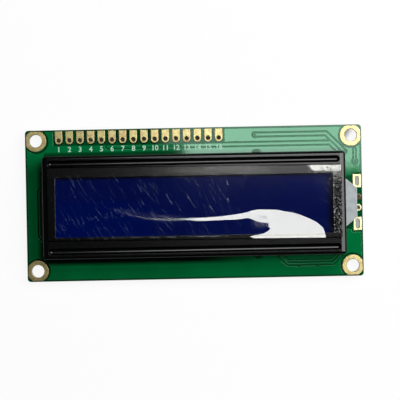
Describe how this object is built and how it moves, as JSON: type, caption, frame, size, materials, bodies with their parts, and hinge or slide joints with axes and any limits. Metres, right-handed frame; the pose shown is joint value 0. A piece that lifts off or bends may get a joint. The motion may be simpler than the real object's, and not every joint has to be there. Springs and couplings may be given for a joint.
{
  "type": "character lcd module",
  "caption": "Alphanumeric display module: green circuit board with plated mounting holes and header pads, black folded bezel, blue display window and edge-lit backlight.",
  "frame": {"origin": "centre of the four mounting holes, on the back face of the circuit board", "axes": "+X along the display's length to the lamp nose, +Y towards the header pads, +Z out of the display's face"},
  "size_m": [0.08, 0.036, 0.0108],
  "materials": {
    "solder_mask": "glossy green solder mask over glass-epoxy board",
    "gold_plating": "satin immersion gold on copper",
    "masked_copper": "copper foil under glossy green solder mask",
    "black_steel": "semi-gloss black enamel on sheet steel",
    "clear_film": "clear, finely scratched peel-off film",
    "polariser": "smooth dark blue plastic sheet",
    "cell_glass": "clear flat glass",
    "cell_seal": "cured epoxy",
    "liquid_crystal": "blue in its resting state",
    "elastomer": "banded silicone rubber",
    "white_film": "matt white polyester",
    "light_guide_acrylic": "translucent bluish white acrylic",
    "lamp_resin": "yellowish lamp resin",
    "tinned_metal": "tinned",
    "solder": "bright solder",
    "black_resin": "semi-gloss black potting resin",
    "resistor_body": "dark glazed ceramic",
    "capacitor_body": "tan ceramic"
  },
  "bodies": {
    "root": {"circuit_board": "solder_mask", "mounting_hole_plating": "gold_plating", "header_pads": "gold_plating", "backlight_slot_pads": "gold_plating", "backlight_round_pads": "gold_plating", "front_copper": "masked_copper", "back_copper": "masked_copper", "contact_fingers": "gold_plating", "bezel": "black_steel", "protective_film": "clear_film", "front_polariser": "polariser", "front_glass": "cell_glass", "perimeter_seal": "cell_seal", "liquid_crystal": "liquid_crystal", "fill_port_plug": "cell_seal", "rear_glass": "cell_glass", "rear_polariser": "polariser", "upper_connector_strip": "elastomer", "lower_connector_strip": "elastomer", "diffuser_film": "white_film", "light_guide": "light_guide_acrylic", "reflector_film": "white_film", "backlight_lamps": "lamp_resin", "lamp_leads": "tinned_metal", "lamp_solder": "solder", "controller_glob_top": "black_resin", "driver_glob_top": "black_resin", "chip_resistors": "resistor_body", "chip_capacitors": "capacitor_body", "chip_solder": "solder"}
  },
  "joints": []
}
